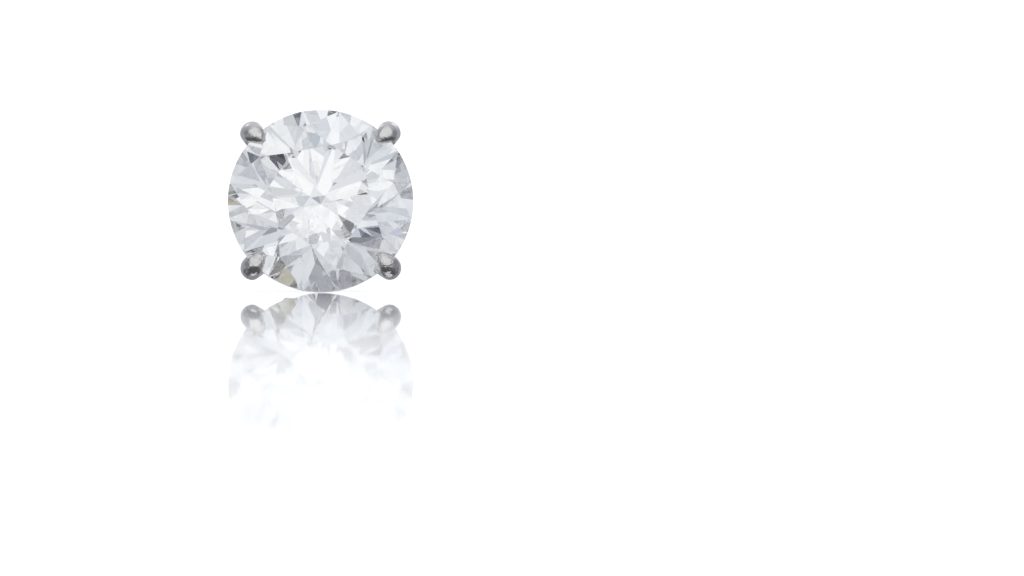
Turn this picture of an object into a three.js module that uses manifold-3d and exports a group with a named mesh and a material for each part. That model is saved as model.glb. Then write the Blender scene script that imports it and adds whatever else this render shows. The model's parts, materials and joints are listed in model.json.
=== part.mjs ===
// A diamond ear stud: a round brilliant in a four-claw setting, with its ear post and ear nut,
// lying as it would by itself on a flat surface with the stone's table towards -Y.
// Millimetres, +Z up, origin under the middle of the whole stud, on the surface.
// The stud is first built on its own axis, +Z out through the table and the girdle at height 0.

import * as THREE from "three";
import { ConvexGeometry } from "three/addons/geometries/ConvexGeometry.js";
import { mergeVertices } from "three/addons/utils/BufferGeometryUtils.js";
import Module from "manifold-3d";

const degree = Math.PI / 180;

// Stone
const stoneRadius = 4.7;
const tableShare = 0.56; // table corner, as a share of the stone's radius
const crownSlope = 34.7 * degree;
const pavilionSlope = 41.2 * degree;
const girdleThickness = 0.34; // where it is thickest
const starShare = 0.58; // reach of a star from the table's edge to the girdle
const lowerHalfShare = 0.78; // reach of a lower half from the girdle to the point
const folds = 8; // kites, stars and pavilion mains
const girdleStepsInHalf = 5; // flats of the girdle under each half facet
const stoneTurn = 33.6 * degree; // turn of a table corner from the stud's side

// Claws, round the stone
const clawCount = 4;
const firstClaw = 45 * degree;
const clawSides = 20;
const clawStepsInSection = 4;

// Line of a claw from foot to tip, in shares of the stone's radius:
// distance from the axis, height above the girdle, half width round the stone, half depth
const clawSections = [
  { out: 0.24, up: -1.09, halfWidth: 0.095, halfDepth: 0.09 },
  { out: 0.52, up: -0.75, halfWidth: 0.095, halfDepth: 0.09 },
  { out: 0.88, up: -0.31, halfWidth: 0.1, halfDepth: 0.09 },
  { out: 1.055, up: -0.06, halfWidth: 0.112, halfDepth: 0.095 },
  { out: 1.065, up: 0.06, halfWidth: 0.12, halfDepth: 0.105 },
  { out: 1.02, up: 0.145, halfWidth: 0.116, halfDepth: 0.105 },
  { out: 0.945, up: 0.17, halfWidth: 0.084, halfDepth: 0.08 },
  { out: 0.865, up: 0.163, halfWidth: 0.03, halfDepth: 0.035 },
];

// Gallery rail, on the claws' line, and the base behind the stone's point
const railRadius = 0.766 * stoneRadius;
const railHeight = -0.447 * stoneRadius;
const railWireRadius = 0.34;
const baseRadius = 1.65;
const baseThickness = 0.7;
const baseChamfer = 0.15;

// Ear post and its socket in the base
const postRadius = 0.45;
const postLength = 11; // from the back of the base to the tip
const postTipChamfer = 0.2;
const grooveFromTip = 1.3;
const grooveRadius = 0.36;
const grooveHalfWidth = 0.3;
const socketDepth = 0.4;

// Ear nut
const lobeSpace = 5.3; // from the back of the base to the nut
const nutWidth = 4.6;
const nutHeight = 4.3;
const nutCorner = 2;
const nutPlate = 0.55;
const curlRadius = 0.72;
const curlWall = 0.32;
const curlHeight = 2.2;
const curlSinksIn = 0.3; // into the nut's plate
const curlOpening = 60 * degree; // between the plate and the curl's end beside the post

// Clearances
const stoneGap = 0.1; // stone to claws
const pointGap = 0.6; // stone's point to the base
const socketGap = 0.1; // post to the wall and floor of its socket
const boreGap = 0.1; // post to the nut

const stonePoint = -girdleThickness / 2 - stoneRadius * Math.tan(pavilionSlope);
const baseFront = stonePoint - pointGap;
const baseBack = baseFront - baseThickness;

const roundSides = 32;
const ringSides = 72;
const ringWireSides = 14;
const arcSegments = 10;
const mergeDistance = 1e-4;

const wasm = await Module();
wasm.setup();

// A closed geometry as a solid for joining and cutting.
function solidOf(geometry) {
  const bare = geometry.clone();
  bare.deleteAttribute("normal");
  bare.deleteAttribute("uv");
  const merged = mergeVertices(bare, mergeDistance);
  const vertProperties = new Float32Array(merged.attributes.position.array);
  const triVerts = new Uint32Array(merged.index.array);
  return new wasm.Manifold(new wasm.Mesh({ numProp: 3, vertProperties, triVerts }));
}

function geometryOf(solid) {
  const { vertProperties, triVerts } = solid.getMesh();
  const geometry = new THREE.BufferGeometry();
  geometry.setAttribute("position", new THREE.BufferAttribute(vertProperties, 3));
  geometry.setIndex(new THREE.BufferAttribute(triVerts, 1));
  geometry.computeVertexNormals();
  return geometry;
}

function onCircle(radius, angle, height) {
  return new THREE.Vector3(radius * Math.cos(angle), radius * Math.sin(angle), height);
}

// Height at which a half facet's plane meets the girdle. The plane holds the inner tip and two
// girdle points of one height that lie half a fold apart.
function halfFacetHeight(tipRadius, tipHeight, radius, edgeHeight, angleFromMiddle) {
  const halfSpan = Math.PI / folds / 2;
  const chordDistance = radius * Math.cos(halfSpan);
  const tipDistance = tipRadius * Math.cos(halfSpan);
  const rise = (tipHeight - edgeHeight) / (chordDistance - tipDistance);
  return edgeHeight + rise * (chordDistance - radius * Math.cos(angleFromMiddle));
}

// The round brilliant, with every facet moved outwards by growth. Its corners are worked out
// from the slopes and shares, and the facets are the faces of the convex body through them.
function roundBrilliant(growth) {
  const radius = stoneRadius + growth;
  const crownRise = Math.tan(crownSlope);
  const pavilionFall = Math.tan(pavilionSlope);
  const fold = (2 * Math.PI) / folds;
  const halfFold = fold / 2;
  const girdleTop = girdleThickness / 2 + growth * (1 / Math.cos(crownSlope) - crownRise);
  const girdleBottom = -girdleThickness / 2 - growth * (1 / Math.cos(pavilionSlope) - pavilionFall);
  const tableHeight = girdleThickness / 2 + stoneRadius * (1 - tableShare) * crownRise + growth;
  const tableRadius = radius - (tableHeight - girdleTop) / crownRise;
  const tableEdge = tableRadius * Math.cos(halfFold);
  const starRadius = tableEdge + starShare * (radius - tableEdge);
  const starHeight = girdleTop + (radius - starRadius * Math.cos(halfFold)) * crownRise;
  const lowerRadius = radius * (1 - lowerHalfShare);
  const lowerHeight = girdleBottom - (radius - lowerRadius * Math.cos(halfFold)) * pavilionFall;
  const corners = [new THREE.Vector3(0, 0, girdleBottom - radius * pavilionFall)];
  for (let index = 0; index < folds; index += 1) {
    const kiteAngle = stoneTurn + index * fold;
    corners.push(onCircle(tableRadius, kiteAngle, tableHeight));
    corners.push(onCircle(starRadius, kiteAngle + halfFold, starHeight));
    corners.push(onCircle(lowerRadius, kiteAngle + halfFold, lowerHeight));
  }
  const halfFacets = 2 * folds;
  const flatAngle = halfFold / girdleStepsInHalf;
  for (let index = 0; index < halfFacets * girdleStepsInHalf; index += 1) {
    const fromMiddle = (index % girdleStepsInHalf) * flatAngle - halfFold / 2;
    const angle = stoneTurn + index * flatAngle;
    const top = halfFacetHeight(starRadius, starHeight, radius, girdleTop, fromMiddle);
    const bottom = halfFacetHeight(lowerRadius, lowerHeight, radius, girdleBottom, fromMiddle);
    corners.push(onCircle(radius, angle, top));
    corners.push(onCircle(radius, angle, bottom));
  }
  return new ConvexGeometry(corners);
}

// One claw in the plane of the axis and +X: a round bar carried along its line of sections.
function claw() {
  const inPlane = clawSections.map(({ out, up }) => new THREE.Vector3(out, 0, up));
  const girths = clawSections.map(({ halfWidth, halfDepth }) => new THREE.Vector3(halfWidth, halfDepth, 0));
  const line = new THREE.CatmullRomCurve3(inPlane, false, "centripetal");
  const girth = new THREE.CatmullRomCurve3(girths, false, "centripetal");
  const steps = (clawSections.length - 1) * clawStepsInSection;
  const geometry = new THREE.CylinderGeometry(1, 1, 1, clawSides, steps);
  const position = geometry.attributes.position;
  const around = new THREE.Vector3(0, 1, 0);
  const corner = new THREE.Vector3();
  const outward = new THREE.Vector3();
  for (let index = 0; index < position.count; index += 1) {
    corner.fromBufferAttribute(position, index);
    const along = corner.y + 0.5;
    const half = girth.getPoint(along);
    outward.crossVectors(around, line.getTangent(along));
    const place = line.getPoint(along);
    place.addScaledVector(around, corner.x * half.x);
    place.addScaledVector(outward, corner.z * half.y);
    place.multiplyScalar(stoneRadius);
    position.setXYZ(index, place.x, place.y, place.z);
  }
  return geometry;
}

// A lathe body round the stud's axis, from a profile of [radius, height] corners.
function turned(profile) {
  const points = profile.map(([radius, height]) => new THREE.Vector2(radius, height));
  const geometry = new THREE.LatheGeometry(points, roundSides);
  return geometry.rotateX(90 * degree);
}

function base() {
  const socketRadius = postRadius + socketGap;
  return turned([
    [0, baseFront],
    [baseRadius - baseChamfer, baseFront],
    [baseRadius, baseFront - baseChamfer],
    [baseRadius, baseBack + baseChamfer],
    [baseRadius - baseChamfer, baseBack],
    [socketRadius, baseBack],
    [socketRadius, baseBack + socketDepth],
    [0, baseBack + socketDepth],
  ].reverse());
}

// Claws, rail and base joined, then cut clear of the stone they hold.
function clawSetting() {
  let setting = solidOf(base());
  for (let index = 0; index < clawCount; index += 1) {
    const turn = firstClaw + (index * 2 * Math.PI) / clawCount;
    setting = setting.add(solidOf(claw().rotateZ(turn)));
  }
  const rail = new THREE.TorusGeometry(railRadius, railWireRadius, ringWireSides, ringSides);
  setting = setting.add(solidOf(rail.translate(0, 0, railHeight)));
  setting = setting.subtract(solidOf(roundBrilliant(stoneGap)));
  return geometryOf(setting);
}

function earPost() {
  const tip = baseBack - postLength;
  const groove = tip + grooveFromTip;
  return turned([
    [0, tip],
    [postRadius - postTipChamfer, tip],
    [postRadius, tip + postTipChamfer],
    [postRadius, groove - grooveHalfWidth],
    [grooveRadius, groove],
    [postRadius, groove + grooveHalfWidth],
    [postRadius, baseBack + socketDepth - socketGap],
    [0, baseBack + socketDepth - socketGap],
  ]);
}

// The nut's plate, a rounded oblong with the post's bore, its front face at height 0.
function nutPlateBody() {
  const halfWidth = nutWidth / 2;
  const halfHeight = nutHeight / 2;
  const outline = new THREE.Shape();
  outline.absarc(halfWidth - nutCorner, nutCorner - halfHeight, nutCorner, -90 * degree, 0);
  outline.absarc(halfWidth - nutCorner, halfHeight - nutCorner, nutCorner, 0, 90 * degree);
  outline.absarc(nutCorner - halfWidth, halfHeight - nutCorner, nutCorner, 90 * degree, 180 * degree);
  outline.absarc(nutCorner - halfWidth, nutCorner - halfHeight, nutCorner, 180 * degree, 270 * degree);
  const bore = new THREE.Path();
  bore.absarc(0, 0, postRadius + boreGap, 0, 360 * degree);
  outline.holes.push(bore);
  const options = { depth: nutPlate, bevelEnabled: false, curveSegments: arcSegments };
  return new THREE.ExtrudeGeometry(outline, options).translate(0, 0, -nutPlate);
}

// One curl of the nut, an open ring whose axis runs up the stud, beside the post.
function nutCurl(side) {
  const middle = postRadius + boreGap + curlRadius;
  const start = 90 * degree + (side > 0 ? curlOpening : 0);
  const end = start + 360 * degree - curlOpening;
  const outline = new THREE.Shape();
  outline.absarc(0, 0, curlRadius, start, end, false);
  outline.absarc(0, 0, curlRadius - curlWall, end, start, true);
  const options = { depth: curlHeight, bevelEnabled: false, curveSegments: 3 * arcSegments };
  const geometry = new THREE.ExtrudeGeometry(outline, options);
  geometry.translate(0, 0, -curlHeight / 2);
  geometry.rotateX(90 * degree);
  return geometry.translate(side * middle, 0, curlSinksIn - nutPlate - curlRadius);
}

function earNut() {
  let nut = solidOf(nutPlateBody());
  for (const side of [-1, 1]) {
    nut = nut.add(solidOf(nutCurl(side)));
  }
  return geometryOf(nut).translate(0, 0, baseBack - lobeSpace);
}

function named(name, geometry, material) {
  const mesh = new THREE.Mesh(geometry, material);
  mesh.name = name;
  return mesh;
}

function polishedMetal() {
  return new THREE.MeshStandardMaterial({ color: 0xd2d0cf, roughness: 0.12, metalness: 1 });
}

// Every corner of the stud's pieces, placed as its group places them.
function cornersOf(group) {
  group.updateMatrixWorld(true);
  const corners = [];
  group.traverse((child) => {
    const position = child.geometry?.attributes.position;
    for (let index = 0; index < (position?.count ?? 0); index += 1) {
      corners.push(new THREE.Vector3().fromBufferAttribute(position, index).applyMatrix4(child.matrixWorld));
    }
  });
  return corners;
}

// Tilt of the stud's axis when it rests on the stone's girdle and the next thing behind it.
function restingTilt(corners) {
  const lowest = Math.min(...corners.map(({ y }) => y));
  const bottom = corners.filter(({ y }) => y - lowest < mergeDistance);
  const heel = Math.min(...bottom.map(({ z }) => z));
  const behind = corners.filter(({ z }) => heel - z > stoneRadius / 2);
  return Math.min(...behind.map(({ y, z }) => Math.atan2(y - lowest, heel - z)));
}

// Turned so that the table faces -Y and upwards by the tilt, and set down on the surface.
function layOnSurface(group) {
  group.rotation.x = 90 * degree - restingTilt(cornersOf(group));
  const box = new THREE.Box3().setFromPoints(cornersOf(group));
  const middle = box.getCenter(new THREE.Vector3());
  group.position.set(-middle.x, -middle.y, -box.min.z);
}

const stoneLook = new THREE.MeshStandardMaterial({ color: 0xf2f6fa, roughness: 0.02, metalness: 0 });
const stud = new THREE.Group();
stud.add(named("diamond", roundBrilliant(0), stoneLook));
stud.add(named("claw_setting", clawSetting(), polishedMetal()));
stud.add(named("ear_post", earPost(), polishedMetal()));
stud.add(named("ear_nut", earNut(), polishedMetal()));
layOnSurface(stud);

export default stud;
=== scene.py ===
"""Looks of a diamond ear stud that lies on a pale floor, its stone towards the camera.

The pieces are modelled in millimetres on the stud's own axis, +Z out through the stone's table,
and are then carried to the row's frame in metres.
"""

import json
import logging
import math
from dataclasses import dataclass
from enum import Enum
from typing import Iterator, Mapping, Sequence

import bmesh
import bpy
from mathutils import Matrix, Vector


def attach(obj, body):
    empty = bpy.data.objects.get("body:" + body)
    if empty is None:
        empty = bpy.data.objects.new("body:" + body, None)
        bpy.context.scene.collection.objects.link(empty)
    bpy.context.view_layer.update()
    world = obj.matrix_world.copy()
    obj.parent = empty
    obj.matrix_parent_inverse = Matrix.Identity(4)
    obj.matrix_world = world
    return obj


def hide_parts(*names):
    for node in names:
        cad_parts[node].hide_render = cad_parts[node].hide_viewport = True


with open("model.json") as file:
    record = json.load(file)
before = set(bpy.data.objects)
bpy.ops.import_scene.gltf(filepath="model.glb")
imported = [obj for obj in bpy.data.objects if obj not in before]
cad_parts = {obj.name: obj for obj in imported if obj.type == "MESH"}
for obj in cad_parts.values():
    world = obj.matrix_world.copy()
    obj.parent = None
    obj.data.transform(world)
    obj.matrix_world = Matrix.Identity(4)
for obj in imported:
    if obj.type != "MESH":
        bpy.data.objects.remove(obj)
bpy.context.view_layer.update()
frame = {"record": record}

LOG = logging.getLogger("ear_stud")
MILLIMETRE = 0.001
FULL_TURN = 2 * math.pi
MERGE_MM = 1e-4
CUT_MM = 1e-5
CREASE = math.radians(40)
RIM_ANGLE = math.radians(60)
DIAMOND_REFRACTION = 2.417
PURE_WHITE = (1.0, 1.0, 1.0, 1.0)
Shape = Sequence[tuple[float, float]]
Colour = tuple[float, float, float]
Socket = bpy.types.NodeSocket


class Slot(Enum):
    """Material slots of the record."""

    STONE = "stone"
    WHITE_GOLD = "white_gold"


@dataclass(frozen=True)
class Cut:
    """One flat facet of the stone: the plane through a point, facing outwards."""

    point: Vector
    normal: Vector

    def beyond(self, place: Vector) -> float:
        """Distance of a place outside the plane."""
        return self.normal.dot(place - self.point)


@dataclass(frozen=True)
class StudAxis:
    """Where the stud's own axis lies in the row's frame, read from the base's back face."""

    seat_name: str = "lobe_front_seat"
    seat_above_axis: float = 1.05

    def matrix(self, base_back: float) -> Matrix:
        """Work out the way from millimetres on the stud's axis to metres in the row's frame.

        Args:
            base_back: Height of the base's back face on the stud's axis, in millimetres.

        Returns:
            The matrix that a finished bmesh is transformed with.
        """
        mounts = {mount["name"]: mount for mount in frame["record"]["mounts"]}
        seat = mounts[self.seat_name]
        out = -Vector(seat["axis"]).normalized()
        right = Vector((1, 0, 0))
        up = out.cross(right)
        turn = Matrix((right, up, out)).transposed().to_4x4()
        local_seat = Vector((0, self.seat_above_axis, base_back)) * MILLIMETRE
        place = Vector(seat["pos_m"]) - turn @ local_seat
        return Matrix.Translation(place) @ turn @ Matrix.Scale(MILLIMETRE, 4)


def finish_object(
    bm: bmesh.types.BMesh, name: str, way: Matrix, slot: Slot, *nodes: str
) -> bpy.types.Object:
    """Turn a bmesh into a piece of the stud that stands for CAD nodes.

    Args:
        bm: The finished bmesh, in millimetres on the stud's axis. It is freed here.
        name: Name of the piece.
        way: Matrix to the row's frame in metres.
        slot: The record's material slot. Not used.
        *nodes: The CAD nodes that the piece stands for.

    Returns:
        The object, at the origin and riding on the root body.
    """
    bmesh.ops.transform(bm, matrix=way, verts=bm.verts)
    mesh = bpy.data.meshes.new(name)
    bm.to_mesh(mesh)
    bm.free()
    piece = bpy.data.objects.new(name, mesh)
    bpy.context.scene.collection.objects.link(piece)
    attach(piece, "root")
    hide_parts(*nodes)
    LOG.info("%s: %d faces", name, len(mesh.polygons))
    return piece


def finish_gold(
    bm: bmesh.types.BMesh, name: str, way: Matrix, metal: bpy.types.Material, node: str
) -> bpy.types.Object:
    """Turn a bmesh into a smooth piece of white gold that stands for a CAD node.

    Args:
        bm: The finished bmesh, in millimetres on the stud's axis. It is freed here.
        name: Name of the piece.
        way: Matrix to the row's frame in metres.
        metal: Material of the piece.
        node: The CAD node that the piece stands for.

    Returns:
        The piece, smooth but for the edges sharper than the crease angle.
    """
    piece = finish_object(bm, name, way, Slot.WHITE_GOLD, node)
    piece.data.materials.append(metal)
    piece.data.shade_smooth()
    piece.data.set_sharp_from_angle(angle=CREASE)
    return piece


def spin_round(bm: bmesh.types.BMesh, steps: int) -> bmesh.types.BMesh:
    """Spin what a bmesh holds once round the stud's axis.

    Args:
        bm: The bmesh, with the line of one section.
        steps: Number of steps in the full turn.

    Returns:
        The same bmesh, now a closed body of revolution.
    """
    bmesh.ops.spin(
        bm, geom=[*bm.verts, *bm.edges], cent=(0, 0, 0), axis=(0, 0, 1),
        angle=FULL_TURN, steps=steps, use_merge=True,
    )
    bmesh.ops.remove_doubles(bm, verts=bm.verts, dist=MERGE_MM)
    bmesh.ops.recalc_face_normals(bm, faces=bm.faces)
    return bm


def spun_profile(profile: Shape, steps: int) -> bmesh.types.BMesh:
    """Spin a line of corners round the stud's axis.

    Args:
        profile: Corners as radius and height, in order round the section. Its first and last
            corners lie on the axis.
        steps: Number of steps in the full turn.

    Returns:
        A closed body of revolution.
    """
    bm = bmesh.new()
    corners = [bm.verts.new((radius, 0, height)) for radius, height in profile]
    for pair in zip(corners, corners[1:]):
        bm.edges.new(pair)
    return spin_round(bm, steps)


def rounded(
    profile: Shape, radius: float, steps: int = 3, longest: float = 0.45
) -> list[tuple[float, float]]:
    """Round the corners of a profile that lie off its two ends.

    Args:
        profile: Corners of the line.
        radius: How far from each corner the rounding starts.
        steps: Number of pieces in each rounding.
        longest: The most that a rounding takes of an edge, as a share of it.

    Returns:
        The line with each inner corner replaced by a short curve.
    """
    line = [profile[0]]
    for before, corner, after in zip(profile, profile[1:], profile[2:]):
        middle = Vector(corner)
        back = Vector(before) - middle
        ahead = Vector(after) - middle
        reach = min(radius, longest * back.length, longest * ahead.length)
        start = middle + back.normalized() * reach
        end = middle + ahead.normalized() * reach
        for index in range(steps + 1):
            share = index / steps
            inner = start.lerp(middle, share)
            outer = middle.lerp(end, share)
            line.append(tuple(inner.lerp(outer, share)))
    line.append(profile[-1])
    return line


@dataclass(frozen=True)
class Wiring:
    """The nodes of a material or of the world, with short ways to add and join them."""

    tree: bpy.types.NodeTree

    @classmethod
    def of(cls, owner: bpy.types.ID) -> "Wiring":
        """Give a material or a world its nodes."""
        owner.use_nodes = True
        return cls(owner.node_tree)

    def feed(self, node: bpy.types.Node, inputs: Mapping[str | int, object]) -> bpy.types.Node:
        """Set a node's inputs.

        Args:
            node: The node.
            inputs: For each input a value, or another node's output to link to it.

        Returns:
            The same node.
        """
        for place, source in inputs.items():
            if isinstance(source, Socket):
                self.tree.links.new(source, node.inputs[place])
            else:
                node.inputs[place].default_value = source
        return node

    def node(self, kind: str, inputs: Mapping[str | int, object], **options: str) -> bpy.types.Node:
        """Add a node.

        Args:
            kind: Kind of the node.
            inputs: For each input a value, or another node's output to link to it.
            **options: Choices on the node itself.

        Returns:
            The node.
        """
        node = self.tree.nodes.new("ShaderNode" + kind)
        for option, choice in options.items():
            setattr(node, option, choice)
        return self.feed(node, inputs)

    def place(self) -> Socket:
        """Read the place on the piece."""
        return self.node("TexCoord", {}).outputs["Object"]

    def noise(self, place: Socket, per_metre: float, detail: float) -> Socket:
        """Read a cloudy noise at a place."""
        inputs = {"Vector": place, "Scale": per_metre, "Detail": detail}
        return self.node("TexNoise", inputs).outputs["Fac"]

    def maths(self, operation: str, *values: Socket | float) -> Socket:
        """Work out a number from one or two others."""
        return self.node("Math", dict(enumerate(values)), operation=operation).outputs["Value"]

    def mixed(self, share: Socket, first: Socket, second: Socket) -> Socket:
        """Mix two shaders by the second one's share."""
        return self.node("MixShader", {"Fac": share, 1: first, 2: second}).outputs["Shader"]

    def spread(
        self, value: Socket, start: float, end: float,
        low: float = 0.0, high: float = 1.0, run: str = "LINEAR",
    ) -> Socket:
        """Carry a value from one range to another.

        Args:
            value: The value.
            start: The value that becomes low.
            end: The value that becomes high.
            low: What start becomes.
            high: What end becomes.
            run: How it runs between the two.

        Returns:
            The value in its new range.
        """
        inputs = {"Value": value, "From Min": start, "From Max": end, "To Min": low, "To Max": high}
        return self.node("MapRange", inputs, interpolation_type=run).outputs["Result"]

    def ramp(self, value: Socket, *stops: tuple[float, Colour]) -> Socket:
        """Turn a value from 0 to 1 into a colour.

        Args:
            value: The value.
            *stops: Two or more values, each with its colour.

        Returns:
            The colour.
        """
        node = self.node("ValToRGB", {"Fac": value})
        elements = node.color_ramp.elements
        for _ in stops[2:]:
            elements.new(1.0)
        for element, (share, colour) in zip(elements, stops):
            element.position = share
            element.color = (*colour, 1.0)
        return node.outputs["Color"]


@dataclass(frozen=True)
class ClearStone:
    """Finish of the colourless stone's polished facets."""

    name: str = "polished_facets"
    tint: Colour = (0.998, 1.0, 1.0)
    faint_tint: Colour = (0.989, 0.994, 1.0)
    tint_per_metre: float = 300.0
    tint_detail: float = 0.0
    tint_start: float = 0.35
    tint_end: float = 0.6
    roughness: float = 0.0

    def material(self) -> bpy.types.Material:
        """Make the clear stone's material: clear facets whose tint clouds very faintly."""
        material = bpy.data.materials.new(self.name)
        wiring = Wiring.of(material)
        wiring.tree.nodes.clear()
        cloud = wiring.noise(wiring.place(), self.tint_per_metre, self.tint_detail)
        glass = wiring.node("BsdfGlass", {
            "Color": wiring.ramp(cloud, (self.tint_start, self.faint_tint), (self.tint_end, self.tint)),
            "Roughness": self.roughness,
            "IOR": DIAMOND_REFRACTION,
        })
        wiring.node("OutputMaterial", {"Surface": glass.outputs["BSDF"]})
        return material


@dataclass(frozen=True)
class BrutedGirdle:
    """Finish of the stone's fine matt girdle."""

    name: str = "bruted_girdle"
    grain_per_metre: float = 24000.0
    grain_detail: float = 3.0
    grain_start: float = 0.35
    grain_end: float = 0.65
    tint: Colour = (0.95, 0.965, 0.98)
    grey_tint: Colour = (0.84, 0.86, 0.88)
    clearness: float = 0.8
    roughness_low: float = 0.25
    roughness_high: float = 0.5

    def material(self) -> bpy.types.Material:
        """Make the girdle's material: a grain in both its tint and its gloss."""
        material = bpy.data.materials.new(self.name)
        wiring = Wiring.of(material)
        grain = wiring.noise(wiring.place(), self.grain_per_metre, self.grain_detail)
        stops = ((self.grain_start, self.grey_tint), (self.grain_end, self.tint))
        wiring.feed(wiring.tree.nodes["Principled BSDF"], {
            "Transmission Weight": self.clearness,
            "IOR": DIAMOND_REFRACTION,
            "Base Color": wiring.ramp(grain, *stops),
            "Roughness": wiring.spread(grain, 0.0, 1.0, self.roughness_low, self.roughness_high),
        })
        return material


@dataclass(frozen=True)
class PolishedGold:
    """Finish of polished white gold with faint polishing lines, and file marks on the claw tips."""

    name: str
    colour: Colour
    shade: float = 0.9
    roughness_low: float = 0.04
    roughness_high: float = 0.12
    cloud_per_metre: float = 900.0
    cloud_start: float = 0.35
    cloud_end: float = 0.65
    gloss_start: float = 0.3
    gloss_end: float = 0.7
    noise_detail: float = 2.0
    line_per_metre: float = 26000.0
    line_stretch: tuple[float, float, float] = (1.0, 0.12, 1.0)
    line_depth: float = 0.02
    line_metres: float = 0.00002
    dent_per_metre: float = 2800.0
    dent_metres: float = 0.0001
    dent_least: float = 0.1
    filed_start: float = -0.0066
    filed_end: float = -0.0078

    def material(self) -> bpy.types.Material:
        """Make the metal's material: clouded colour, uneven gloss and fine polishing lines."""
        material = bpy.data.materials.new(self.name)
        wiring = Wiring.of(material)
        place = wiring.place()
        shaded = tuple(part * self.shade for part in self.colour)
        cloud = wiring.noise(place, self.cloud_per_metre, self.noise_detail)
        wiring.feed(wiring.tree.nodes["Principled BSDF"], {
            "Metallic": 1.0,
            "Base Color": wiring.ramp(cloud, (self.cloud_start, shaded), (self.cloud_end, self.colour)),
            "Roughness": wiring.spread(
                cloud, self.gloss_start, self.gloss_end, self.roughness_low, self.roughness_high
            ),
            "Normal": self.marks(wiring, place),
        })
        return material

    def marks(self, wiring: Wiring, place: Socket) -> Socket:
        """Lay file marks over polishing lines that run along the stud.

        Args:
            wiring: The material's nodes.
            place: The place on the piece.

        Returns:
            The way that the marked surface faces.
        """
        along = wiring.node("Mapping", {"Vector": place, "Scale": self.line_stretch})
        lines = wiring.noise(along.outputs["Vector"], self.line_per_metre, self.noise_detail)
        lined = wiring.node("Bump", {
            "Strength": self.line_depth,
            "Distance": self.line_metres,
            "Height": lines,
        })
        back = wiring.node("SeparateXYZ", {"Vector": place}).outputs["Y"]
        marked = wiring.node("Bump", {
            "Strength": wiring.spread(back, self.filed_start, self.filed_end, self.dent_least),
            "Distance": self.dent_metres,
            "Height": wiring.noise(place, self.dent_per_metre, self.noise_detail),
            "Normal": lined.outputs["Normal"],
        })
        return marked.outputs["Normal"]


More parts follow.
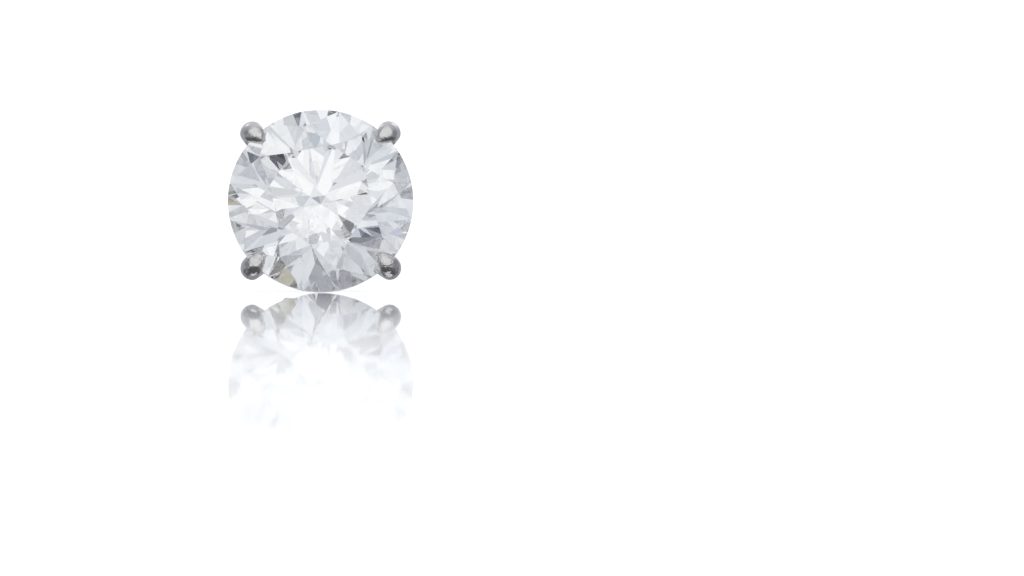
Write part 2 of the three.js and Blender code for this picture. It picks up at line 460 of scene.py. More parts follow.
@dataclass
class RoundBrilliant:
    """The stone: a cylinder of rough cut flat along its 57 facets."""

    radius: float = 4.7
    table_share: float = 0.56
    crown_slope: float = math.radians(34.7)
    pavilion_slope: float = math.radians(41.2)
    girdle: float = 0.34
    star_share: float = 0.58
    lower_half_share: float = 0.78
    folds: int = 8
    girdle_sides: int = 240
    turn: float = math.radians(33.6)
    rough_length_in_radii: float = 4.0
    flat_angle: float = 1e-4
    upright: float = 0.01

    def __post_init__(self) -> None:
        """Work out the heights and radii that the facets meet at."""
        half_fold = math.pi / self.folds
        rise = math.tan(self.crown_slope)
        fall = math.tan(self.pavilion_slope)
        self.table_height = self.girdle / 2 + self.radius * (1 - self.table_share) * rise
        self.point_height = -self.girdle / 2 - self.radius * fall
        table_radius = self.radius * self.table_share
        self.table_edge = table_radius * math.cos(half_fold)
        self.star_radius = self.table_edge + self.star_share * (self.radius - self.table_edge)
        self.star_height = self.girdle / 2 + (self.radius - self.star_radius * math.cos(half_fold)) * rise
        self.lower_radius = self.radius * (1 - self.lower_half_share)
        reach = self.radius - self.lower_radius * math.cos(half_fold)
        self.lower_height = -self.girdle / 2 - reach * fall

    def half_slope(self, tip_radius: float, tip_height: float, edge_height: float) -> float:
        """Slope of a half facet from the girdle to its inner tip.

        Args:
            tip_radius: Distance of the tip from the axis.
            tip_height: Height of the tip.
            edge_height: Height of the girdle's edge that the facet meets.

        Returns:
            The angle from the girdle's plane, positive above it and negative below.
        """
        quarter_fold = math.pi / self.folds / 2
        run = (self.radius - tip_radius) * math.cos(quarter_fold)
        return math.atan2(tip_height - edge_height, run)

    def ring_of_cuts(
        self, angles: Sequence[float], slope: float, radius: float, height: float
    ) -> Iterator[Cut]:
        """Yield one facet of a kind at each angle round the axis.

        Args:
            angles: Angles of the facets' middles from a table corner.
            slope: Angle of the facets from the girdle's plane, negative on the pavilion.
            radius: Distance from the axis of a point on each facet's middle line.
            height: Height of that point.

        Yields:
            The cuts.
        """
        for angle in angles:
            out = Vector((math.cos(self.turn + angle), math.sin(self.turn + angle), 0))
            normal = out * math.sin(abs(slope)) + Vector((0, 0, math.copysign(math.cos(slope), slope)))
            yield Cut(out * radius + Vector((0, 0, height)), normal)

    def cuts(self) -> Iterator[Cut]:
        """Yield every facet: table, kites, stars, upper halves, mains and lower halves."""
        fold = FULL_TURN / self.folds
        corners = [index * fold for index in range(self.folds)]
        edges = [angle + fold / 2 for angle in corners]
        halves = [angle + side * fold / 4 for angle in corners for side in (-1, 1)]
        chord = self.radius * math.cos(fold / 4)
        star_slope = math.atan2(self.table_height - self.star_height, self.star_radius - self.table_edge)
        upper = self.half_slope(self.star_radius, self.star_height, self.girdle / 2)
        lower = self.half_slope(self.lower_radius, self.lower_height, -self.girdle / 2)
        yield Cut(Vector((0, 0, self.table_height)), Vector((0, 0, 1)))
        yield from self.ring_of_cuts(corners, self.crown_slope, self.radius, self.girdle / 2)
        yield from self.ring_of_cuts(edges, star_slope, self.table_edge, self.table_height)
        yield from self.ring_of_cuts(halves, upper, chord, self.girdle / 2)
        yield from self.ring_of_cuts(corners, -self.pavilion_slope, self.radius, -self.girdle / 2)
        yield from self.ring_of_cuts(halves, lower, chord, -self.girdle / 2)

    def build(self, way: Matrix, facets: bpy.types.Material, edge: bpy.types.Material) -> bpy.types.Object:
        """Cut the rough to the finished stone.

        Args:
            way: Matrix to the row's frame.
            facets: Material of the polished facets.
            edge: Material of the girdle.

        Returns:
            The stone.
        """
        bm = bmesh.new()
        bmesh.ops.create_cone(
            bm, cap_ends=True, segments=self.girdle_sides,
            radius1=self.radius, radius2=self.radius, depth=self.rough_length_in_radii * self.radius,
        )
        for cut in self.cuts():
            cut_away(bm, cut)
        bmesh.ops.dissolve_limit(bm, angle_limit=self.flat_angle, verts=bm.verts, edges=bm.edges)
        for face in bm.faces:
            face.material_index = 1 if abs(face.normal.z) < self.upright else 0
        piece = finish_object(bm, "round_brilliant", way, Slot.STONE, "diamond")
        piece.data.materials.append(facets)
        piece.data.materials.append(edge)
        return piece


def cut_away(bm: bmesh.types.BMesh, cut: Cut) -> None:
    """Cut off what lies outside a facet's plane, and close the cut with one flat face.

    Args:
        bm: The closed convex body to cut.
        cut: The facet.
    """
    found = bmesh.ops.bisect_plane(
        bm, geom=[*bm.verts, *bm.edges, *bm.faces], dist=CUT_MM,
        plane_co=cut.point, plane_no=cut.normal, clear_outer=True,
    )
    rim = [part for part in found["geom_cut"] if isinstance(part, bmesh.types.BMEdge)]
    if len(rim) > 2:
        bmesh.ops.contextual_create(bm, geom=rim)


@dataclass(frozen=True)
class Section:
    """One section of a claw, in shares of the stone's radius."""

    out: float
    up: float
    half_width: float
    half_depth: float


CLAW_SECTIONS = (
    Section(out=0.24, up=-1.09, half_width=0.095, half_depth=0.09),
    Section(out=0.52, up=-0.75, half_width=0.095, half_depth=0.09),
    Section(out=0.88, up=-0.31, half_width=0.1, half_depth=0.09),
    Section(out=1.055, up=-0.06, half_width=0.112, half_depth=0.095),
    Section(out=1.065, up=0.06, half_width=0.12, half_depth=0.105),
    Section(out=1.02, up=0.145, half_width=0.116, half_depth=0.105),
    Section(out=0.945, up=0.17, half_width=0.084, half_depth=0.08),
    Section(out=0.865, up=0.163, half_width=0.03, half_depth=0.035),
)


def through(values: Sequence[Vector], share: float) -> Vector:
    """Read a smooth line through evenly spaced values.

    Args:
        values: The values that the line goes through.
        share: How far along the line, from 0 to 1.

    Returns:
        The value there.
    """
    spans = len(values) - 1
    index = min(int(share * spans), spans - 1)
    step = share * spans - index
    before = values[max(index - 1, 0)]
    start = values[index]
    end = values[index + 1]
    after = values[min(index + 2, spans)]
    bend = (after - end * 3 + start * 3 - before) * step ** 3
    curve = (before * 2 - start * 5 + end * 4 - after) * step ** 2
    return (bend + curve + (end - before) * step + start * 2) / 2


@dataclass
class ClawSetting:
    """Four claws, a gallery rail and the base, soldered together."""

    stone: RoundBrilliant
    claws: int = 4
    first_claw: float = math.radians(45)
    sides: int = 32
    rings: int = 64
    look_ahead: float = 0.01
    stone_gap: float = 0.04
    seat_rise: float = 1.5
    least_facing: float = 0.05
    rail_out: float = 0.766
    rail_up: float = -0.447
    rail_wire: float = 0.34
    rail_sides: int = 28
    rail_steps: int = 120
    base_radius: float = 1.65
    base_thickness: float = 0.7
    base_rounding: float = 0.15
    base_steps: int = 72
    point_gap: float = 0.6
    socket_radius: float = 0.55
    socket_depth: float = 0.4

    @property
    def base_front(self) -> float:
        """Height of the base's front face."""
        return self.stone.point_height - self.point_gap

    @property
    def base_back(self) -> float:
        """Height of the base's back face."""
        return self.base_front - self.base_thickness

    def claw(self) -> bmesh.types.BMesh:
        """Model one claw in the plane of the axis and +X, from its foot to its almond tip."""
        radius = self.stone.radius
        line = [Vector((section.out, 0, section.up)) * radius for section in CLAW_SECTIONS]
        girth = [Vector((section.half_width, section.half_depth)) * radius for section in CLAW_SECTIONS]
        bm = bmesh.new()
        ring = bmesh.ops.create_circle(bm, cap_ends=False, segments=self.sides, radius=1.0)["verts"]
        edges = list(bm.edges)
        unit = [vert.co.copy() for vert in ring]
        for index in range(self.rings + 1):
            share = index / self.rings
            if index:
                grown = bmesh.ops.extrude_edge_only(bm, edges=edges)["geom"]
                ring = [part for part in grown if isinstance(part, bmesh.types.BMVert)]
                edges = [part for part in grown if isinstance(part, bmesh.types.BMEdge)]
                for vert, start in zip(ring, unit):
                    vert.co = start
            before = through(line, max(share - self.look_ahead, 0))
            ahead = through(line, min(share + self.look_ahead, 1)) - before
            outward = Vector((0, 1, 0)).cross(ahead.normalized())
            half = through(girth, share)
            section = Matrix((Vector((0, half.x, 0)), outward * half.y, ahead.normalized())).transposed()
            place = Matrix.Translation(through(line, share)) @ section.to_4x4()
            bmesh.ops.transform(bm, matrix=place, verts=ring)
        bmesh.ops.holes_fill(bm, edges=bm.edges, sides=0)
        bmesh.ops.recalc_face_normals(bm, faces=bm.faces)
        return bm

    def seat_claw(self, bm: bmesh.types.BMesh) -> None:
        """Cut the claw's seat: carry what reaches into the stone outwards to its surface.

        Args:
            bm: One claw, turned to its place.
        """
        cuts = list(self.stone.cuts())
        for vert in bm.verts:
            flat = Vector((vert.co.x, vert.co.y, 0))
            out = flat.normalized()
            if vert.co.z > 0:
                out = (out + Vector((0, 0, self.seat_rise))).normalized()
            inside = [cut.beyond(vert.co) - self.stone_gap for cut in cuts]
            inside.append(flat.length - self.stone.radius - self.stone_gap)
            if max(inside) >= 0:
                continue
            facing = [cut.normal.dot(out) for cut in cuts]
            ways = [-depth / share for share, depth in zip(facing, inside) if share > self.least_facing]
            ways.append(-inside[-1] / out.xy.length)
            vert.co += out * min(ways)

    def rail(self) -> bmesh.types.BMesh:
        """Model the gallery rail, a ring of round wire on the claws' line."""
        radius = self.rail_out * self.stone.radius
        height = self.rail_up * self.stone.radius
        bm = bmesh.new()
        bmesh.ops.create_circle(bm, cap_ends=False, segments=self.rail_sides, radius=self.rail_wire)
        stand = Matrix.Translation((radius, 0, height)) @ Matrix.Rotation(math.pi / 2, 4, "X")
        bmesh.ops.transform(bm, matrix=stand, verts=bm.verts)
        return spin_round(bm, self.rail_steps)

    def base(self) -> bmesh.types.BMesh:
        """Model the base with the post's socket in its back."""
        profile = (
            (0, self.base_front),
            (self.base_radius, self.base_front),
            (self.base_radius, self.base_back),
            (self.socket_radius, self.base_back),
            (self.socket_radius, self.base_back + self.socket_depth),
            (0, self.base_back + self.socket_depth),
        )
        return spun_profile(rounded(profile, self.base_rounding), self.base_steps)

    def build(self, way: Matrix, metal: bpy.types.Material) -> bpy.types.Object:
        """Gather the claws, the rail and the base in one mesh, where their shells overlap.

        Args:
            way: Matrix to the row's frame.
            metal: Material of the setting.

        Returns:
            The setting.
        """
        bm = bmesh.new()
        for index in range(self.claws):
            claw = self.claw()
            turn = Matrix.Rotation(self.first_claw + index * FULL_TURN / self.claws, 4, "Z")
            bmesh.ops.transform(claw, matrix=turn, verts=claw.verts)
            self.seat_claw(claw)
            join_into(bm, claw)
        join_into(bm, self.rail())
        join_into(bm, self.base())
        return finish_gold(bm, "four_claw_setting", way, metal, "claw_setting")


def join_into(whole: bmesh.types.BMesh, part: bmesh.types.BMesh) -> None:
    """Add one bmesh to another as a shell of its own, and free it.

    Args:
        whole: The bmesh that grows.
        part: The bmesh that is added.
    """
    carrier = bpy.data.meshes.new("carrier")
    part.to_mesh(carrier)
    part.free()
    whole.from_mesh(carrier)
    bpy.data.meshes.remove(carrier)


@dataclass
class EarPost:
    """The straight wire through the ear, with a groove near its rounded tip."""

    setting: ClawSetting
    radius: float = 0.45
    length: float = 11.0
    sides: int = 48
    tip_rounding: float = 0.2
    rounding_steps: int = 5
    groove_from_tip: float = 1.3
    groove_radius: float = 0.36
    groove_half_width: float = 0.3
    socket_gap: float = 0.1

    def build(self, way: Matrix, metal: bpy.types.Material) -> bpy.types.Object:
        """Spin the post.

        Args:
            way: Matrix to the row's frame.
            metal: Material of the post.

        Returns:
            The post.
        """
        tip = self.setting.base_back - self.length
        groove = tip + self.groove_from_tip
        head = self.setting.base_back + self.setting.socket_depth - self.socket_gap
        profile = (
            (0, tip),
            (self.radius, tip),
            (self.radius, groove - self.groove_half_width),
            (self.groove_radius, groove),
            (self.radius, groove + self.groove_half_width),
            (self.radius, head),
            (0, head),
        )
        bm = spun_profile(rounded(profile, self.tip_rounding, self.rounding_steps), self.sides)
        return finish_gold(bm, "straight_post", way, metal, "ear_post")


@dataclass
class EarNut:
    """The friction nut: an oblong plate with two curls beside the post."""

    setting: ClawSetting
    post: EarPost
    lobe_space: float = 5.3
    width: float = 4.6
    height: float = 4.3
    corner: float = 2.0
    plate: float = 0.55
    bore_gap: float = 0.1
    curl_radius: float = 0.72
    curl_wall: float = 0.32
    curl_height: float = 2.2
    curl_sinks_in: float = 0.3
    curl_opening: float = math.radians(60)
    curl_steps: int = 40
    edge_rounding: float = 0.1
    edge_steps: int = 3
    outline_sides: int = 64

    @property
    def front(self) -> float:
        """Height of the plate's front face."""
        return self.setting.base_back - self.lobe_space

    def plate_body(self) -> bmesh.types.BMesh:
        """Model the plate: a circle pulled apart to a rounded oblong, bridged to the bore."""
        bm = bmesh.new()
        half_step = Matrix.Rotation(math.pi / self.outline_sides, 4, "Z")
        bmesh.ops.create_circle(bm, segments=self.outline_sides, radius=self.corner, matrix=half_step)
        for vert in bm.verts:
            vert.co.x += math.copysign(self.width / 2 - self.corner, vert.co.x)
            vert.co.y += math.copysign(self.height / 2 - self.corner, vert.co.y)
        bore = self.post.radius + self.bore_gap
        bmesh.ops.create_circle(bm, segments=self.outline_sides, radius=bore, matrix=half_step)
        bridged = bmesh.ops.bridge_loops(bm, edges=bm.edges)["faces"]
        bmesh.ops.recalc_face_normals(bm, faces=bridged)
        grown = bmesh.ops.extrude_face_region(bm, geom=bridged)["geom"]
        raised = [part for part in grown if isinstance(part, bmesh.types.BMVert)]
        bmesh.ops.translate(bm, vec=(0, 0, -self.plate), verts=raised)
        bmesh.ops.recalc_face_normals(bm, faces=bm.faces)
        self.round_rims(bm)
        bmesh.ops.translate(bm, vec=(0, 0, self.front), verts=bm.verts)
        return bm

    def round_rims(self, bm: bmesh.types.BMesh) -> None:
        """Round off a body's sharp edges by the nut's edge rounding."""
        rims = [edge for edge in bm.edges if edge.calc_face_angle(0) > RIM_ANGLE]
        bmesh.ops.bevel(
            bm, geom=rims, offset=self.edge_rounding, affect="EDGES",
            segments=self.edge_steps, profile=0.5, material=-1,
        )

    def curl(self, side: int) -> bmesh.types.BMesh:
        """Model one curl, a strip bent round beside the post.

        Args:
            side: 1 for the curl on +X, -1 for the one on -X.

        Returns:
            The curl.
        """
        middle_radius = self.curl_radius - self.curl_wall / 2
        bm = bmesh.new()
        bmesh.ops.create_grid(bm, x_segments=1, y_segments=1, size=0.5)
        strip = Matrix.Diagonal((self.curl_wall, self.curl_height, 1, 1))
        stand = Matrix.Translation((0, 0, middle_radius)) @ Matrix.Rotation(math.pi / 2, 4, "Y")
        bmesh.ops.transform(bm, matrix=stand @ strip, verts=bm.verts)
        bmesh.ops.spin(
            bm, geom=[*bm.verts, *bm.edges, *bm.faces], cent=(0, 0, 0), axis=(0, side, 0),
            angle=FULL_TURN - self.curl_opening, steps=self.curl_steps,
        )
        bmesh.ops.recalc_face_normals(bm, faces=bm.faces)
        self.round_rims(bm)
        middle = self.post.radius + self.bore_gap + self.curl_radius
        height = self.front + self.curl_sinks_in - self.plate - self.curl_radius
        bmesh.ops.translate(bm, vec=(side * middle, 0, height), verts=bm.verts)
        return bm

    def build(self, way: Matrix, metal: bpy.types.Material) -> bpy.types.Object:
        """Gather the plate and the curls in one mesh, where their shells overlap.

        Args:
            way: Matrix to the row's frame.
            metal: Material of the nut.

        Returns:
            The nut.
        """
        bm = bmesh.new()
        join_into(bm, self.plate_body())
        for side in (-1, 1):
            join_into(bm, self.curl(side))
        return finish_gold(bm, "friction_nut", way, metal, "ear_nut")


class Tone(Enum):
    """Colours of the tent's cloth and of the cards that hang in it."""

    GLARE = (1.5, 1.5, 1.5)
    BRIGHT = (1.2, 1.2, 1.2)
    WHITE = (1.0, 1.005, 1.01)
    CLOTH = (0.74, 0.76, 0.79)
    DULL_WHITE = (0.66, 0.69, 0.73)
    LIGHT_GREY = (0.55, 0.58, 0.62)
    GREY = (0.45, 0.46, 0.5)
    DIM_GREY = (0.28, 0.29, 0.32)
    CHARCOAL = (0.14, 0.15, 0.18)
    SHADE = (0.12, 0.12, 0.125)
    BLACK = (0.03, 0.03, 0.04)
    CREAM = (0.58, 0.57, 0.5)
    TEAL = (0.48, 0.54, 0.58)
    LAVENDER = (0.42, 0.44, 0.6)
    NAVY = (0.12, 0.15, 0.25)
    BROWN = (0.28, 0.2, 0.06)


@dataclass(frozen=True)
class Card:
    """One round card or patch of the tent as the stud sees it, with sizes in degrees.

    It hangs at an azimuth, 0 towards the camera and 90 to its right, and at an elevation.
    """

    at: tuple[float, float]
    radius: float
    tone: Tone
    softness: float = 1.0

    @property
    def direction(self) -> Vector:
        """Direction of the card from the stud."""
        azimuth, elevation = (math.radians(angle) for angle in self.at)
        level = math.cos(elevation)
        return Vector((math.sin(azimuth) * level, -math.cos(azimuth) * level, math.sin(elevation)))


@dataclass
class LightTent:
    """A white tent round the stud, with small cards for the stone and soft panels for the metal."""

    panels: tuple[Card, ...] = (
        Card(at=(0, 28), radius=52, softness=24, tone=Tone.WHITE),
        Card(at=(180, 48), radius=42, softness=14, tone=Tone.CLOTH),
        Card(at=(-85, 4), radius=22, softness=10, tone=Tone.DIM_GREY),
        Card(at=(88, 0), radius=24, softness=10, tone=Tone.DIM_GREY),
        Card(at=(150, 32), radius=9, softness=5, tone=Tone.BRIGHT),
        Card(at=(-140, 42), radius=10, softness=6, tone=Tone.BRIGHT),
        Card(at=(0, -90), radius=60, softness=18, tone=Tone.SHADE),
        Card(at=(180, -62), radius=22, softness=10, tone=Tone.GREY),
        Card(at=(170, -76), radius=13, softness=6, tone=Tone.WHITE),
        Card(at=(180, 2), radius=7, softness=2, tone=Tone.BRIGHT),
    )
    areas: tuple[Card, ...] = (
        Card(at=(-3, 32), radius=26, softness=14, tone=Tone.WHITE),
        Card(at=(-22, 5), radius=9, softness=4, tone=Tone.DULL_WHITE),
        Card(at=(18, -1), radius=7, softness=3, tone=Tone.LIGHT_GREY),
        Card(at=(18, 17), radius=7, softness=4, tone=Tone.DULL_WHITE),
        Card(at=(-32, -34), radius=20, softness=8, tone=Tone.GREY),
        Card(at=(48, -38), radius=22, softness=8, tone=Tone.GREY),
        Card(at=(-172, -24), radius=22, softness=10, tone=Tone.GREY),
        Card(at=(4, -31), radius=6, softness=2, tone=Tone.WHITE),
        Card(at=(180, 2), radius=7, softness=2, tone=Tone.BRIGHT),
    )
    cards: tuple[Card, ...] = (
        Card(at=(1, -22), radius=4, softness=2, tone=Tone.LIGHT_GREY),
        Card(at=(-11, -19), radius=3, tone=Tone.GREY),
        Card(at=(13, -25), radius=3, tone=Tone.LIGHT_GREY),
        Card(at=(22, -21), radius=3, tone=Tone.LIGHT_GREY),
        Card(at=(12, -12), radius=3, tone=Tone.DULL_WHITE),
        Card(at=(-17, -4), radius=3, tone=Tone.LIGHT_GREY),
        Card(at=(-12, 10), radius=3, tone=Tone.BRIGHT),
        Card(at=(-7, 6), radius=2, tone=Tone.GLARE),
        Card(at=(26, 12), radius=3, tone=Tone.LIGHT_GREY),
        Card(at=(18, 23), radius=1.8, tone=Tone.DIM_GREY),
        Card(at=(-20, 26), radius=3, tone=Tone.CLOTH),
        Card(at=(-31, 22), radius=2, tone=Tone.WHITE),
        Card(at=(-33, 19.5), radius=2, tone=Tone.DIM_GREY),
        Card(at=(29, -18), radius=4, softness=2, tone=Tone.LIGHT_GREY),
        Card(at=(18, 61), radius=4.5, softness=2, tone=Tone.LIGHT_GREY),
        Card(at=(1, 2), radius=2, tone=Tone.BLACK),
        Card(at=(-2.5, 3), radius=1.8, tone=Tone.CHARCOAL),
        Card(at=(-4, 7), radius=2.5, tone=Tone.DULL_WHITE),
        Card(at=(-52, 44), radius=4, softness=2, tone=Tone.CHARCOAL),
        Card(at=(8, 11), radius=3, tone=Tone.TEAL),
        Card(at=(-18, -23), radius=3.5, tone=Tone.CHARCOAL),
        Card(at=(-18, -25), radius=2.5, tone=Tone.BLACK),
        Card(at=(-22, -15), radius=2.5, tone=Tone.DIM_GREY),
        Card(at=(-16, -17), radius=2.5, tone=Tone.CHARCOAL),
        Card(at=(-15, -10), radius=2.5, tone=Tone.CHARCOAL),
        Card(at=(-30, -27), radius=3, tone=Tone.GREY),
        Card(at=(37, -26), radius=3.5, tone=Tone.DIM_GREY),
        Card(at=(43, -32), radius=4, tone=Tone.CHARCOAL),
        Card(at=(40, -1), radius=3, tone=Tone.NAVY),
        Card(at=(35, -9), radius=2.5, tone=Tone.CHARCOAL),
        Card(at=(-14, -29), radius=3, tone=Tone.LAVENDER),
        Card(at=(16, -39), radius=4, tone=Tone.CREAM),
        Card(at=(-43, -51), radius=4, softness=2, tone=Tone.BROWN),
        Card(at=(-28, -48), radius=4, softness=2, tone=Tone.CLOTH),
        Card(at=(58, 70), radius=5, softness=2, tone=Tone.DIM_GREY),
        Card(at=(51, 60), radius=4, softness=2, tone=Tone.GREY),
        Card(at=(-47, 70), radius=5, softness=2, tone=Tone.DIM_GREY),
        Card(at=(-27, 66), radius=5, softness=2, tone=Tone.DIM_GREY),
        Card(at=(-99, 63), radius=4, softness=2, tone=Tone.GREY),
        Card(at=(-132, 65), radius=5, softness=2, tone=Tone.GREY),
        Card(at=(46, -50), radius=6, softness=2, tone=Tone.BLACK),
        Card(at=(75, -60), radius=5, softness=2, tone=Tone.GREY),
        Card(at=(55, -12), radius=5, softness=2, tone=Tone.GREY),
        Card(at=(65, -46), radius=6, softness=2, tone=Tone.CHARCOAL),
        Card(at=(91, -27), radius=4, softness=2, tone=Tone.WHITE),
        Card(at=(-160, -26), radius=5, softness=2, tone=Tone.BLACK),
        Card(at=(-176, -25), radius=5, softness=2, tone=Tone.BLACK),
        Card(at=(-172, -11), radius=4, softness=2, tone=Tone.CHARCOAL),
        Card(at=(16, -15), radius=3, tone=Tone.CHARCOAL),
        Card(at=(120, 3), radius=4, softness=2, tone=Tone.CHARCOAL),
        Card(at=(-105, 0), radius=3.5, softness=2, tone=Tone.BROWN),
        Card(at=(-145, 0), radius=6, softness=2, tone=Tone.BLACK),
        Card(at=(155, 21), radius=7, softness=3, tone=Tone.DIM_GREY),
        Card(at=(158, -43), radius=8, softness=3, tone=Tone.DIM_GREY),
        Card(at=(2, -63), radius=6, softness=2, tone=Tone.DIM_GREY),
        Card(at=(-96, 30), radius=5, softness=2, tone=Tone.DIM_GREY),
        Card(at=(95, 30), radius=5, softness=2, tone=Tone.DIM_GREY),
        Card(at=(85, 41), radius=4, softness=2, tone=Tone.LIGHT_GREY),
        Card(at=(-61, -13), radius=5, softness=2, tone=Tone.GREY),
        Card(at=(-79, -7), radius=5, softness=2, tone=Tone.BRIGHT),
        Card(at=(-71, -6), radius=4, tone=Tone.CHARCOAL),
        Card(at=(-64, 10), radius=4, softness=2, tone=Tone.WHITE),
        Card(at=(-40, -34), radius=3, tone=Tone.CHARCOAL),
        Card(at=(-150, -20), radius=4, softness=2, tone=Tone.DIM_GREY),
        Card(at=(58, -28), radius=3, tone=Tone.DIM_GREY),
        Card(at=(9, -33), radius=2.5, tone=Tone.LIGHT_GREY),
        Card(at=(42, -17), radius=3, tone=Tone.DIM_GREY),
        Card(at=(-50, 52), radius=4, softness=2, tone=Tone.DIM_GREY),
        Card(at=(-51, -36), radius=3, tone=Tone.LIGHT_GREY),
        Card(at=(-69, 31), radius=4, softness=2, tone=Tone.WHITE),
        Card(at=(37, 35), radius=5, softness=3, tone=Tone.LIGHT_GREY),
        Card(at=(-41, 18), radius=4, softness=2, tone=Tone.WHITE),
        Card(at=(115, 35), radius=8, softness=3, tone=Tone.GLARE),
        Card(at=(-113, 50), radius=5, softness=2, tone=Tone.BRIGHT),
    )

    def build(self) -> None:
        """Make the world: what the stone and floor see, what the metal sees, and a white backdrop."""
        world = bpy.data.worlds.new("light_tent")
        bpy.context.scene.world = world
        wiring = Wiring.of(world)
        world.cycles.sampling_method = "NONE"
        nodes = wiring.tree.nodes
        tent = self.layered(wiring, Tone.CLOTH, (*self.areas, *self.cards))
        seen_by_stone = wiring.feed(nodes["Background"], {"Color": tent})
        seen_by_metal = wiring.node("Background", {"Color": self.layered(wiring, Tone.GREY, self.panels)})
        backdrop = wiring.node("Background", {"Color": PURE_WHITE})
        ray = wiring.node("LightPath", {}).outputs
        off_metal = wiring.maths("SUBTRACT", ray["Is Glossy Ray"], ray["Is Singular Ray"])
        light = wiring.mixed(off_metal, seen_by_stone.outputs[0], seen_by_metal.outputs[0])
        shown = wiring.mixed(ray["Is Camera Ray"], light, backdrop.outputs[0])
        wiring.feed(nodes["World Output"], {"Surface": shown})

    def layered(self, wiring: Wiring, cloth: Tone, cards: Sequence[Card]) -> Socket:
        """Lay cards over the tent's cloth, each over the ones before it.

        Args:
            wiring: The world's nodes.
            cloth: Tone of the cloth.
            cards: The cards, from the back to the front.

        Returns:
            The colour seen in each direction.
        """
        looking = wiring.node("TexCoord", {}).outputs["Generated"]
        colour = (*cloth.value, 1.0)
        for card in cards:
            ways = {0: looking, 1: card.direction}
            facing = wiring.node("VectorMath", ways, operation="DOT_PRODUCT").outputs["Value"]
            outer = math.cos(math.radians(card.radius + card.softness))
            inner = math.cos(math.radians(card.radius - card.softness))
            layer = {
                "Factor": wiring.spread(facing, outer, inner, run="SMOOTHSTEP"),
                "A": colour,
                "B": (*card.tone.value, 1.0),
            }
            colour = wiring.node("Mix", layer, data_type="RGBA").outputs["Result"]
        return colour


@dataclass
class StudioFloor:
    """A pale matt floor with a polished strip in front of the stone, which fades towards the camera."""

    contact: float
    half_size: float = 1.5
    colour: Colour = (0.93, 0.935, 0.94)
    glow: float = 0.5
    roughness: float = 0.6
    mirror_roughness: float = 0.02
    gloss_start: float = -0.001
    gloss_length: float = 0.3
    gloss_stops: Shape = (
        (0.0, 0.0), (0.012, 0.94), (0.06, 0.85), (0.16, 0.69),
        (0.31, 0.57), (0.45, 0.47), (0.7, 0.34), (1.0, 0.0),
    )
    refraction: float = 1.45
    level_start: float = 0.6
    level_end: float = 0.84
    strip_half_width: float = 0.012
    strip_edge: float = 0.03
    strip_rounding: float = 5200.0
    strip_lag: float = 0.0105

    def build(self) -> bpy.types.Object:
        """Make the floor and its material."""
        bm = bmesh.new()
        bmesh.ops.create_grid(bm, x_segments=1, y_segments=1, size=self.half_size)
        mesh = bpy.data.meshes.new("floor")
        bm.to_mesh(mesh)
        bm.free()
        floor = bpy.data.objects.new("floor", mesh)
        bpy.context.scene.collection.objects.link(floor)
        mesh.materials.append(self.material())
        floor.visible_glossy = False
        floor.visible_transmission = False
        return floor

    def material(self) -> bpy.types.Material:
        """Make the floor's material: matt, and a mirror where it is polished and seen near level."""
        material = bpy.data.materials.new("pale_floor")
        wiring = Wiring.of(material)
        nodes = wiring.tree.nodes
        matt = wiring.feed(nodes["Principled BSDF"], {
            "Base Color": (*self.colour, 1.0),
            "Roughness": self.roughness,
            "Specular IOR Level": 0.0,
            "Emission Color": PURE_WHITE,
            "Emission Strength": self.glow,
        })
        mirror = wiring.node("BsdfGlossy", {"Color": PURE_WHITE, "Roughness": self.mirror_roughness})
        grazing = wiring.node("Fresnel", {"IOR": self.refraction}).outputs["Fac"]
        near_level = wiring.spread(grazing, self.level_start, self.level_end)
        gloss = wiring.maths("MULTIPLY", self.polish(wiring), near_level)
        shown = wiring.mixed(gloss, matt.outputs["BSDF"], mirror.outputs["BSDF"])
        wiring.feed(nodes["Material Output"], {"Surface": shown})
        return material

    def polish(self, wiring: Wiring) -> Socket:
        """Work out how polished the floor is: a strip whose start is rounded as the stone is.

        Args:
            wiring: The floor's nodes.

        Returns:
            The polish, from 0 to 1.
        """
        place = wiring.node("SeparateXYZ", {"Vector": wiring.place()}).outputs
        square = wiring.maths("MULTIPLY", place["X"], place["X"])
        bend = wiring.maths("MULTIPLY", square, self.strip_rounding)
        lag = wiring.maths("MINIMUM", bend, self.strip_lag)
        start = self.contact - self.gloss_start
        ahead = wiring.spread(wiring.maths("ADD", place["Y"], lag), start, start - self.gloss_length)
        fade = wiring.ramp(ahead, *((share, (gloss,) * 3) for share, gloss in self.gloss_stops))
        aside = wiring.maths("ABSOLUTE", place["X"])
        across = wiring.spread(aside, self.strip_edge, self.strip_half_width)
        return wiring.maths("MULTIPLY", fade, across)


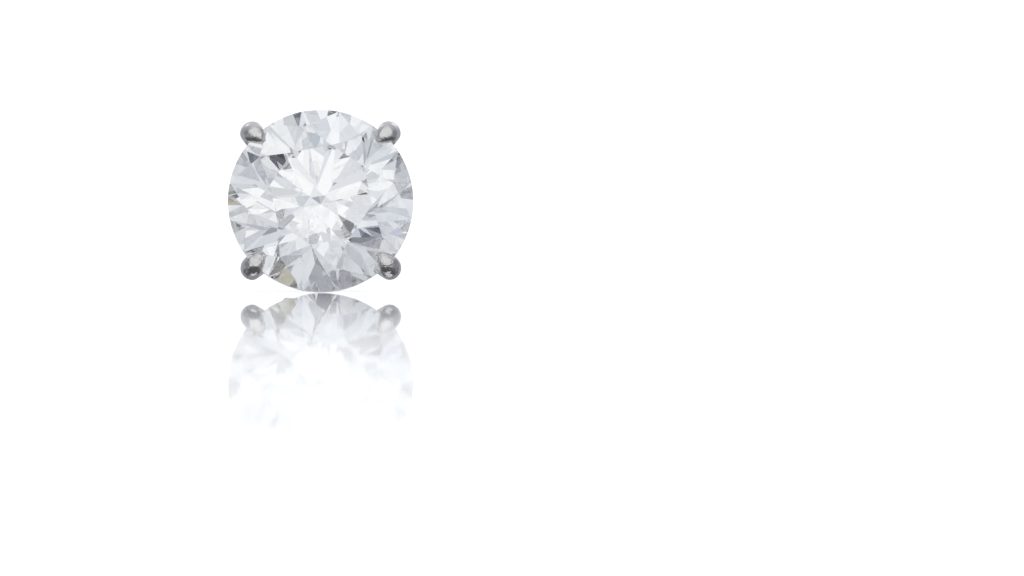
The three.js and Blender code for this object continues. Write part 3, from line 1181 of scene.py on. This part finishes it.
@dataclass
class PhotoCamera:
    """The camera: a long lens a little below the stone's axis, aimed beside the stud."""

    below_axis: float = 11.5
    left_of_axis: float = 0.8
    distance: float = 1.2
    frame_width_px: int = 1024
    frame_height_px: int = 576
    stone_centre_px: tuple[float, float] = (320.6, 201.1)
    stone_width_px: float = 185.4
    sensor: float = 36.0
    nearest: float = 0.01
    farthest: float = 10.0

    def build(self, way: Matrix, stone: RoundBrilliant) -> bpy.types.Object:
        """Place the camera so that the stone lies where the photo has it.

        Args:
            way: Matrix from the stud's axis to the row's frame.
            stone: The stone, for its width.

        Returns:
            The camera.
        """
        centre = way.translation
        axis = (way.to_3x3() @ Vector((0, 0, 1))).normalized()
        tilt = math.asin(axis.z)
        elevation = tilt - math.radians(self.below_axis)
        aside = math.radians(self.left_of_axis)
        level = math.cos(elevation)
        back = Vector((-math.sin(aside) * level, -math.cos(aside) * level, math.sin(elevation)))
        right = Vector((math.cos(aside), -math.sin(aside), 0))
        up = right.cross(-back)
        metres_per_px = 2 * stone.radius * MILLIMETRE / self.stone_width_px
        to_the_right = (self.frame_width_px / 2 - self.stone_centre_px[0]) * metres_per_px
        below = (self.frame_height_px / 2 - self.stone_centre_px[1]) * metres_per_px
        target = centre + right * to_the_right - up * below
        data = bpy.data.cameras.new("photo_camera")
        data.sensor_width = self.sensor
        data.lens = self.sensor * self.distance / (self.frame_width_px * metres_per_px)
        data.clip_start = self.nearest
        data.clip_end = self.farthest
        camera = bpy.data.objects.new("photo_camera", data)
        camera.location = centre + back * self.distance
        camera.rotation_euler = (target - camera.location).to_track_quat("-Z", "Y").to_euler()
        bpy.context.scene.collection.objects.link(camera)
        bpy.context.scene.camera = camera
        LOG.info("camera: elevation %.2f degrees, lens %.0f mm", math.degrees(elevation), data.lens)
        return camera


def set_rendering() -> None:
    """Give the light paths room inside the stone, and keep white as white."""
    scene = bpy.context.scene
    scene.cycles.max_bounces = 32
    scene.cycles.transmission_bounces = 32
    scene.cycles.glossy_bounces = 16
    scene.cycles.diffuse_bounces = 4
    scene.cycles.caustics_reflective = True
    scene.cycles.caustics_refractive = True
    scene.cycles.blur_glossy = 0.0
    scene.cycles.sample_clamp_indirect = 0.0
    scene.cycles.use_adaptive_sampling = False
    scene.cycles.denoising_input_passes = "RGB"
    scene.view_settings.view_transform = "Standard"
    scene.view_settings.look = "None"


def main() -> None:
    """Build the stud, its stage and the camera."""
    logging.basicConfig(level=logging.INFO, format="%(name)s: %(message)s")
    stone = RoundBrilliant()
    setting = ClawSetting(stone)
    post = EarPost(setting)
    nut = EarNut(setting, post)
    way = StudAxis().matrix(setting.base_back)
    claw_gold = PolishedGold("claw_gold", colour=(0.7, 0.69, 0.685))
    plain_gold = PolishedGold(
        "plain_gold", colour=(0.72, 0.71, 0.7), roughness_low=0.06, roughness_high=0.14
    )
    stone.build(way, ClearStone().material(), BrutedGirdle().material())
    setting.build(way, claw_gold.material())
    post.build(way, plain_gold.material())
    nut.build(way, plain_gold.material())
    LightTent().build()
    StudioFloor(contact=(way @ Vector((0, -stone.radius, 0))).y).build()
    PhotoCamera().build(way, stone)
    set_rendering()


if __name__ == "__main__":
    main()
